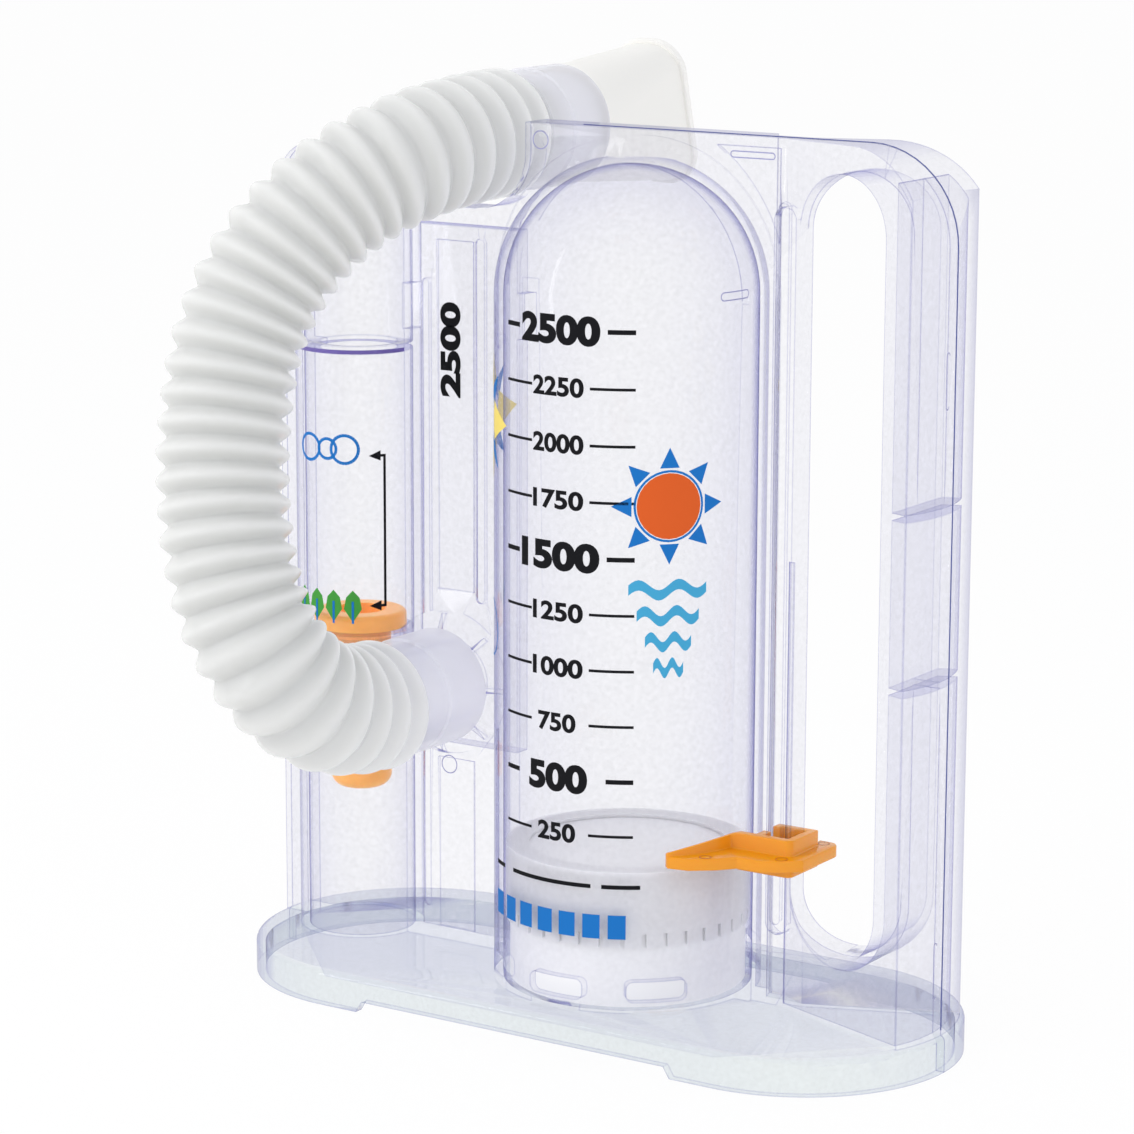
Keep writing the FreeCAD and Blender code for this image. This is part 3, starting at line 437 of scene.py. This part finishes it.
# Mouthpiece: opaque off-white polyethylene, a round plug in the upper cuff that flares into
# an upright oval for the lips.
dress("mouthpiece", plastic(
    "white_mouthpiece", (0.86, 0.85, 0.81), 0.35,
    Subsurface_Weight=0.4, Subsurface_Scale=0.004, Subsurface_Radius=EVEN_SCATTER,
))


# Hose: blow-moulded milky polyethylene, corrugated all the way, from the lower cuff up and
# back into the cradle, and held by its cuffs. The route's points are those of the solid tube.
HOSE_ROUTE = [
    (-38.5, -27.0, 67.5), (-38.5, -45.0, 67.5), (-44.0, -59.0, 80.0), (-53.0, -61.0, 98.0),
    (-60.0, -55.0, 126.0), (-60.5, -46.0, 154.0), (-50.5, -31.0, 175.5), (-36.5, -8.0, 187.0),
    (-36.5, 17.0, 187.0),
]
HOSE_RADIUS = 14.1 * MM
GROOVE_RADIUS = 11.8 * MM
HOSE_PITCH = 5.7 * MM
HOSE_WALL = 0.8 * MM
RING_STEPS = 14
RING_SIDES = 72
CREST_SHARPNESS = 1.4
MILKY = (0.91, 0.915, 0.875)
MILKY_GROOVE_SHADE = (0.84, 0.85, 0.835)
# Painted glow: a faint emission stands in for light through the milky wall.
hose_plastic = plastic(
    "milky_hose", MILKY, 0.25, Subsurface_Weight=0.9, Subsurface_Scale=0.006,
    Subsurface_Radius=EVEN_SCATTER, Emission_Strength=0.05, Emission_Color=(0.95, 0.97, 0.94),
)
hose_tree = hose_plastic.node_tree
# Painted shade: the grooves are coloured darker than the crests.
shade = add(hose_tree, "ShaderNodeAttribute", attribute_name="groove")
groove_shade_mix = add(
    hose_tree, "ShaderNodeMix", data_type="RGBA",
    Factor=shade.outputs["Fac"], A=MILKY, B=MILKY_GROOVE_SHADE,
)
feed(hose_tree, shader_of(hose_plastic), Base_Color=groove_shade_mix.outputs["Result"])

route = bpy.data.curves.new("hose_route", "CURVE")
route.dimensions = "3D"
route.resolution_u = 24
line = route.splines.new("NURBS")
line.points.add(len(HOSE_ROUTE) - 1)
for point, place in zip(line.points, HOSE_ROUTE):
    point.co = (*(Vector(place) * MM), 1)
line.order_u = 3
line.use_endpoint_u = True
route_object = thing("hose_route", route)
depsgraph = bpy.context.evaluated_depsgraph_get()
path_mesh = bpy.data.meshes.new_from_object(route_object.evaluated_get(depsgraph))

corrugation = bpy.data.node_groups.new("corrugated_hose", "GeometryNodeTree")
corrugation.interface.new_socket(
    "Geometry", in_out="INPUT", socket_type="NodeSocketGeometry",
)
sizes_given = {}
for label, kind, value in (
    ("Pitch", "NodeSocketFloat", HOSE_PITCH), ("Crest radius", "NodeSocketFloat", HOSE_RADIUS),
    ("Groove radius", "NodeSocketFloat", GROOVE_RADIUS), ("Wall", "NodeSocketFloat", HOSE_WALL),
    ("Steps per ring", "NodeSocketInt", RING_STEPS), ("Sides", "NodeSocketInt", RING_SIDES),
):
    made = corrugation.interface.new_socket(label, in_out="INPUT", socket_type=kind)
    sizes_given[made.identifier] = value
corrugation.interface.new_socket(
    "Geometry", in_out="OUTPUT", socket_type="NodeSocketGeometry",
)
given = add(corrugation, "NodeGroupInput").outputs


def arithmetic(operation, *values):
    return add(corrugation, "ShaderNodeMath", *values, operation=operation).outputs[0]


step_length = arithmetic("DIVIDE", given["Pitch"], given["Steps per ring"])
resampled = add(
    corrugation, "GeometryNodeResampleCurve", mode="LENGTH",
    Curve=given["Geometry"], Length=step_length,
)
along = add(corrugation, "GeometryNodeSplineParameter")
rings_done = arithmetic("DIVIDE", along.outputs["Length"], given["Pitch"])
swing = arithmetic("SINE", arithmetic("MULTIPLY", rings_done, math.pi))
crest = arithmetic("POWER", arithmetic("ABSOLUTE", swing), CREST_SHARPNESS)
groove = arithmetic("SUBTRACT", 1.0, crest)
depth = arithmetic("SUBTRACT", given["Crest radius"], given["Groove radius"])
radius = arithmetic("SUBTRACT", given["Crest radius"], arithmetic("MULTIPLY", groove, depth))
marked = add(
    corrugation, "GeometryNodeStoreNamedAttribute", data_type="FLOAT", domain="POINT",
    Geometry=resampled.outputs["Curve"], Name="groove", Value=groove,
)
skins = add(corrugation, "GeometryNodeJoinGeometry")
for inside in (False, True):
    circle_line = add(
        corrugation, "GeometryNodeCurvePrimitiveCircle", Radius=1.0, Resolution=given["Sides"],
    )
    skin = add(
        corrugation, "GeometryNodeCurveToMesh",
        Curve=marked.outputs["Geometry"], Profile_Curve=circle_line.outputs["Curve"],
        Scale=arithmetic("SUBTRACT", radius, given["Wall"]) if inside else radius,
    )
    if inside:
        skin = add(corrugation, "GeometryNodeFlipFaces", skin.outputs["Mesh"])
    corrugation.links.new(skin.outputs["Mesh"], skins.inputs["Geometry"])
soft = add(corrugation, "GeometryNodeSetShadeSmooth", skins.outputs["Geometry"])
real = add(corrugation, "GeometryNodeRealizeInstances", soft.outputs["Geometry"])
painted = add(
    corrugation, "GeometryNodeSetMaterial",
    Geometry=real.outputs["Geometry"], Material=hose_plastic,
)
add(corrugation, "NodeGroupOutput", painted.outputs["Geometry"])
growth = route_object.modifiers.new("hose", "NODES")
growth.node_group = corrugation
for identifier, value in sizes_given.items():
    growth[identifier] = value
hose = piece("corrugated_hose", baked(route_object), hose_plastic)
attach(hose, "body")
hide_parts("hose")


# Printed scale: black numerals and ticks screen-printed on the front of the chamber, every
# 250 from 250 to 2500. Plain rules and a band of blue bars stand under it.
CHAMBER_X = 7.2
CHAMBER_RADIUS = 29.0
STRIP = 0.8
SCALE_X = 0.4
SCALE_LOW = 46.4
SCALE_STEP = 11.79
TICK_LEFT = -14.6
TICK_RIGHT = 17.4
# Width, height and weight of the figures, line of the ticks, and the ticks' inner ends.
LARGE = (19.4, 6.3, 0.05, 1.0, -10.0, 11.6)
SMALL = (12.4, 4.1, 0.035, 0.6, -6.1, 7.9)
THREE_FIGURES = 0.75
RULES = ((-18.5, 4.6), (-2.0, 21.0), (14.9, 8.2))
RULE_Z = 35.5
RULE_LINE = 0.9
BARS = (-18.9, -13.4, -7.9, -2.4, 3.1, 8.6, 14.1)
BARS_Z = 26.8
BAR_WIDTH, BAR_HEIGHT = 3.8, 5.2


def print_ink(name, colour, roughness=0.6):
    return plastic(name, colour, roughness, Specular_IOR_Level=0.1)


def numeral(ink, text, x, y, width, height, bold):
    """Figures of a given width and height, centred on x, y, as flat faces."""
    letters = bpy.data.curves.new("figures", "FONT")
    letters.body = text
    letters.offset = bold
    letters.resolution_u = 6
    flat = baked(thing("figures", letters))
    low = Vector([min(v.co[i] for v in flat.vertices) for i in range(3)])
    high = Vector([max(v.co[i] for v in flat.vertices) for i in range(3)])
    for v in flat.vertices:
        v.co.x = x + ((v.co.x - low.x) / (high.x - low.x) - 0.5) * width
        v.co.y = y + ((v.co.y - low.y) / (high.y - low.y) - 0.5) * height
    ink.from_mesh(flat)


def bar(ink, x, y, width, height):
    flat_shape(ink, [
        (x - width / 2, y - height / 2), (x + width / 2, y - height / 2),
        (x + width / 2, y + height / 2), (x - width / 2, y + height / 2),
    ])


def wrapped(name, ink, axis_x, radius, material, lift=INK_LIFT):
    """Flat ink bent round an upright tube: x is the way round from the front, y the height."""
    xs = [v.co.x for v in ink.verts]
    cut_x = math.ceil(min(xs))
    while cut_x < max(xs):
        everything = list(ink.verts) + list(ink.edges) + list(ink.faces)
        bmesh.ops.bisect_plane(ink, geom=everything, plane_co=(cut_x, 0, 0), plane_no=(1, 0, 0))
        cut_x += STRIP
    out = radius + lift
    placed(
        name, ink,
        lambda x, y: (axis_x + out * math.sin(x / radius), -out * math.cos(x / radius), y),
        material,
    )


black_ink = print_ink("black_ink", (0.008, 0.008, 0.010), 0.7)
blue_ink = print_ink("blue_ink", (0.012, 0.16, 0.50))
scale = bmesh.new()
for step in range(10):
    z = SCALE_LOW + SCALE_STEP * step
    value = 250 * (step + 1)
    style = LARGE if value in (500, 1500, 2500) else SMALL
    width, height, bold, thick, left_end, right_start = style
    if value < 1000:
        width *= THREE_FIGURES
    numeral(scale, str(value), SCALE_X, z, width, height, bold)
    bar(scale, (TICK_LEFT + left_end) / 2, z, left_end - TICK_LEFT, thick)
    bar(scale, (TICK_RIGHT + right_start) / 2, z, TICK_RIGHT - right_start, thick)
for x, width in RULES:
    bar(scale, x, RULE_Z, width, RULE_LINE)
wrapped("scale_print", scale, CHAMBER_X, CHAMBER_RADIUS, black_ink)
band = bmesh.new()
for x in BARS:
    bar(band, x, BARS_Z, BAR_WIDTH, BAR_HEIGHT)
wrapped("blue_band", band, CHAMBER_X, CHAMBER_RADIUS, blue_ink)


# Model number: upright black figures screen-printed on the web between the two tubes, read
# from below.
WEB_FRONT = -2.0
MODEL_X = -37.9
MODEL_Z = 141.2
MODEL_LENGTH, MODEL_HEIGHT = 20.8, 5.4
number = bmesh.new()
numeral(number, "2500", 0, 0, MODEL_LENGTH, MODEL_HEIGHT, 0.05)
placed(
    "model_number", number, lambda x, y: (MODEL_X - y, WEB_FRONT - INK_LIFT, MODEL_Z + x),
    black_ink,
)


# Printed pictures on the chamber: screen-printed in four colours, a sun above waves on its
# right and a pinwheel and a ring at its left edge.
SUN_X, SUN_Z = 24.6, 116.5
SUN_RADIUS = 6.9
SUN_RIM, SUN_RIM_LINE = 7.3, 0.5
RAYS = (8.2, 12.2, 8, 0.26)
WAVES = ((99.0, 17.0), (93.5, 13.5), (88.0, 10.0), (82.5, 6.5))
WAVE_HEIGHT, WAVE_LINE = 1.1, 2.2
PINWHEEL_X, PINWHEEL_Z = -30.5, 130.5
YELLOW_BLADES = (7.0, 15.0, 4, 0.75)
BLUE_BLADES = (6.0, 14.0, 4, 0.42, math.pi / 4)
LEFT_RING = (-27.0, 85.5, 6.0, 0.45)


def blades(ink, x, y, inner, outer, count, width, turn=0.0):
    """Triangles that stand out from a centre."""
    for i in range(count):
        a = 2 * math.pi * i / count + turn
        flat_shape(ink, [
            (x + inner * math.cos(a - width), y + inner * math.sin(a - width)),
            (x + outer * math.cos(a), y + outer * math.sin(a)),
            (x + inner * math.cos(a + width), y + inner * math.sin(a + width)),
        ])


def wave(ink, x, y, length, height, thick):
    """Two waves in a row, as quads with upright sides."""
    line = [
        (x + length * (i / 24 - 0.5), y + height * math.sin(i / 24 * 4 * math.pi))
        for i in range(25)
    ]
    for (x0, y0), (x1, y1) in zip(line, line[1:]):
        flat_shape(ink, [
            (x0, y0 - thick / 2), (x1, y1 - thick / 2),
            (x1, y1 + thick / 2), (x0, y0 + thick / 2),
        ])


orange_print, blue_print, light_print, yellow_print = (bmesh.new() for _ in range(4))
flat_shape(orange_print, circle(SUN_X, SUN_Z, SUN_RADIUS, 28))
blades(blue_print, SUN_X, SUN_Z, *RAYS)
ring(blue_print, SUN_X, SUN_Z, SUN_RIM, SUN_RIM_LINE)
for z, length in WAVES:
    wave(light_print, SUN_X, z, length, WAVE_HEIGHT, WAVE_LINE)
blades(yellow_print, PINWHEEL_X, PINWHEEL_Z, *YELLOW_BLADES)
blades(blue_print, PINWHEEL_X, PINWHEEL_Z, *BLUE_BLADES)
ring(blue_print, *LEFT_RING)
for name, ink, material in (
    ("chamber_orange", orange_print, print_ink("orange_ink", (0.68, 0.11, 0.02))),
    ("chamber_blue", blue_print, blue_ink),
    ("chamber_light", light_print, print_ink("light_blue_ink", (0.06, 0.36, 0.60))),
    ("chamber_yellow", yellow_print, print_ink("yellow_ink", (0.86, 0.68, 0.16))),
):
    wrapped(name, ink, CHAMBER_X, CHAMBER_RADIUS, material)


# Printed pictures on the flow tube: blue drops where the float should hover and green leaves
# on blue stems where it rests.
FLOW_X = -64.1
FLOW_RADIUS = 14.0
DROPS = ((-3.4, 2.9), (1.5, 2.2), (5.6, 3.1))
DROPS_Z, DROP_LINE = 118.8, 0.7
LEAVES = (-6.0, -1.6, 2.8, 7.2)
LEAF = ((-2.0, 83.2), (0, 80.2), (2.0, 83.2), (1.5, 85.8), (0, 87.4), (-1.5, 85.8))
STEM_Z, STEM_WIDTH, STEM_HEIGHT = 82.4, 0.5, 5.0
STEM_LIFT = INK_LIFT + 0.05
drops, leaves, stems = (bmesh.new() for _ in range(3))
for x, radius in DROPS:
    ring(drops, x, DROPS_Z, radius, DROP_LINE)
for x in LEAVES:
    flat_shape(leaves, [(x + across, z) for across, z in LEAF])
    bar(stems, x, STEM_Z, STEM_WIDTH, STEM_HEIGHT)
green_ink = print_ink("green_ink", (0.06, 0.30, 0.05))
wrapped("tube_drops", drops, FLOW_X, FLOW_RADIUS, blue_ink)
wrapped("tube_leaves", leaves, FLOW_X, FLOW_RADIUS, green_ink)
wrapped("tube_stems", stems, FLOW_X, FLOW_RADIUS, blue_ink, STEM_LIFT)


# Range bracket: a thin black line screen-printed beside the float, with an arrow at each end
# of its travel.
BRACKET_X = 14.5
BRACKET_LOW, BRACKET_HIGH = 83.9, 117.4
BRACKET_LINE = 0.6
BRACKET_ARM = 1.6
ARROW_TIP, ARROW_BACK, ARROW_HALF = 3.6, 0.9, 1.15
bracket = bmesh.new()
bar(
    bracket, BRACKET_X, (BRACKET_LOW + BRACKET_HIGH) / 2,
    BRACKET_LINE, BRACKET_HIGH - BRACKET_LOW + BRACKET_LINE,
)
for z in (BRACKET_LOW, BRACKET_HIGH):
    bar(bracket, BRACKET_X - BRACKET_ARM / 2, z, BRACKET_ARM, BRACKET_LINE)
    flat_shape(bracket, [
        (BRACKET_X - ARROW_TIP, z), (BRACKET_X - ARROW_BACK, z - ARROW_HALF),
        (BRACKET_X - ARROW_BACK, z + ARROW_HALF),
    ])
wrapped("range_bracket", bracket, FLOW_X, FLOW_RADIUS, black_ink)


# Marks of the mould: fine oblong outlines of inserts on the right wall and at the top, two
# round ones of ejector pins, and the lug high on the right of the chamber. The small steps of
# their edges are drawn as lines of painted lavender shade.
SIDE_WALL = 84.2
MARK_LINE = 0.25
SIDE_OBLONGS = ((-3.4, 145.2, 1.3, 11.5), (-3.4, 22.6, 1.3, 11.9))
TOP_OBLONG = (37.6, 187.6, 10.5, 1.3)
PIN_RINGS = ((-14.5, 187.9, 1.9), (-38.5, 48.6, 2.0))
LUG_OBLONG = (40.5, 159.0, 8.6, 1.7)


def oblong(ink, x, y, width, height):
    """A stadium's outline."""
    radius = min(width, height) / 2
    reach_x, reach_y = width / 2 - radius, height / 2 - radius
    points = []
    for i in range(25):
        a = 2 * math.pi * i / 24
        sx = math.copysign(reach_x, math.cos(a)) if reach_x else 0
        sy = math.copysign(reach_y, math.sin(a)) if reach_y else 0
        points.append((x + sx + radius * math.cos(a), y + sy + radius * math.sin(a)))
    ribbon(ink, points, MARK_LINE)


mould_mark_shade = plastic("mould_mark_shade", (0.30, 0.30, 0.52), 0.5)
side_marks = bmesh.new()
for sizes in SIDE_OBLONGS:
    oblong(side_marks, *sizes)
placed("side_marks", side_marks, lambda x, y: (SIDE_WALL + INK_LIFT, x, y), mould_mark_shade)
front_marks = bmesh.new()
oblong(front_marks, *TOP_OBLONG)
for sizes in PIN_RINGS:
    ring(front_marks, *sizes, MARK_LINE)
placed("front_marks", front_marks, lambda x, y: (x, WEB_FRONT - INK_LIFT, y), mould_mark_shade)
lug = bmesh.new()
oblong(lug, *LUG_OBLONG)
wrapped("lug_marks", lug, CHAMBER_X, CHAMBER_RADIUS, mould_mark_shade)


# Stop ring: the step moulded inside the flow tube, where the float's travel ends, gathers the
# light to a violet line round the front.
STOP_Z, STOP_LENGTH, STOP_LINE = 140.2, 40.0, 0.9
STOP_RADIUS = FLOW_RADIUS - 0.2
STOP_LIFT = -0.1
stop = bmesh.new()
bar(stop, 0, STOP_Z, STOP_LENGTH, STOP_LINE)
violet = plastic("violet_line", (0.12, 0.08, 0.36), 0.5)
wrapped("stop_line", stop, FLOW_X, STOP_RADIUS, violet, STOP_LIFT)


# Stage: a white paper sweep, flat under the object and then up in a quarter round behind it,
# in a white surround with soft light from the upper left.
CAMERA_AZIMUTH = 33.375
CENTRE = (0.0, 0.0, 0.1)
SWEEP_WIDTH = 8.0
SWEEP_FRONT = -3.0
SWEEP_BACK = 1.6
SWEEP_RADIUS = 0.8
SWEEP_HEIGHT = 4.0
SWEEP_STEPS = 16
SWEEP_BELOW = 0.0003
FLOOR_GLOW = 0.93
ROOM_COLOUR = (0.95, 0.96, 1.0)
ROOM_STRENGTH = 0.75
WHITE = (1, 1, 1)


def area_light(name, place, size, power, colour, height=None):
    """A light that looks at the middle of the object."""
    lamp = bpy.data.lights.new(name, "AREA")
    lamp.size = size
    if height:
        lamp.shape = "RECTANGLE"
        lamp.size_y = height
    lamp.energy = power
    lamp.color = colour
    made = thing(name, lamp)
    made.location = place
    aim = (Vector(CENTRE) - Vector(place)).to_track_quat("-Z", "Y")
    made.rotation_euler = aim.to_euler()
    return made


key = area_light("key", (-0.7, -0.8, 0.9), 0.8, 6.5, (1.0, 0.99, 0.97))
fill = area_light("fill", (0.9, -0.5, 0.5), 0.8, 3.0, (0.97, 0.98, 1.0))
key.visible_glossy = False
fill.visible_glossy = False
area_light("strip", (-0.55, -0.75, 0.35), 0.06, 0.7, WHITE, height=0.7)

floor_white = plastic("floor_white", (0.9, 0.9, 0.9), 0.9, Specular_IOR_Level=0.0)
floor_tree = floor_white.node_tree
glow = add(floor_tree, "ShaderNodeEmission", Color=WHITE)
blend = add(
    floor_tree, "ShaderNodeMixShader",
    FLOOR_GLOW, shader_of(floor_white).outputs[0], glow.outputs[0],
)
floor_tree.links.new(blend.outputs[0], surface_of(floor_white))
profile = [(SWEEP_FRONT, 0.0)]
for step in range(SWEEP_STEPS + 1):
    angle = math.radians(90 * step / SWEEP_STEPS)
    profile.append((
        SWEEP_BACK + SWEEP_RADIUS * math.sin(angle), SWEEP_RADIUS * (1 - math.cos(angle)),
    ))
profile.append((SWEEP_BACK + SWEEP_RADIUS, SWEEP_HEIGHT))
turn = Matrix.Rotation(math.radians(CAMERA_AZIMUTH), 3, "Z")
floor_points = [
    turn @ Vector((side * SWEEP_WIDTH / 2, y, z - SWEEP_BELOW))
    for side in (-1, 1) for y, z in profile
]
row = len(profile)
floor_mesh = bpy.data.meshes.new("floor")
floor_mesh.from_pydata(floor_points, [], [(i, i + row, i + row + 1, i + 1) for i in range(row - 1)])
smooth(floor_mesh, 60)
piece("floor", floor_mesh, floor_white)

world = bpy.data.worlds.new("studio")
world.use_nodes = True
bpy.context.scene.world = world
world_tree = world.node_tree
room = world_tree.nodes["Background"]
feed(world_tree, room, Color=ROOM_COLOUR, Strength=ROOM_STRENGTH)
seen = add(world_tree, "ShaderNodeBackground", Color=WHITE)
path = add(world_tree, "ShaderNodeLightPath")
choose = add(
    world_tree, "ShaderNodeMixShader",
    path.outputs["Is Camera Ray"], room.outputs[0], seen.outputs[0],
)
feed(world_tree, world_tree.nodes["World Output"], Surface=choose.outputs[0])


# Camera: a long lens from the front right and above, where the photograph was taken from.
# Light passes many clear walls, so the path's limits are high.
CAMERA_PLACE = (0.4499, -0.6964, 0.2665)
CAMERA_DOWN = 11.543
CAMERA_ROLL = 0.17
CAMERA_LENS = 125.48
BOUNCES = 32
camera_data = bpy.data.cameras.new("camera")
camera_data.lens = CAMERA_LENS
camera_data.sensor_width = 36
camera_data.clip_end = 30
camera = thing("camera", camera_data)
aim = Euler((math.radians(90 - CAMERA_DOWN), 0, math.radians(CAMERA_AZIMUTH))).to_matrix()
aim = aim @ Matrix.Rotation(math.radians(CAMERA_ROLL), 3, "Z")
camera.location = CAMERA_PLACE
camera.rotation_euler = aim.to_euler()
scene = bpy.context.scene
scene.camera = camera
scene.view_settings.view_transform = "Standard"
scene.cycles.max_bounces = BOUNCES
scene.cycles.transmission_bounces = BOUNCES
scene.cycles.transparent_max_bounces = BOUNCES

bpy.context.view_layer.update()
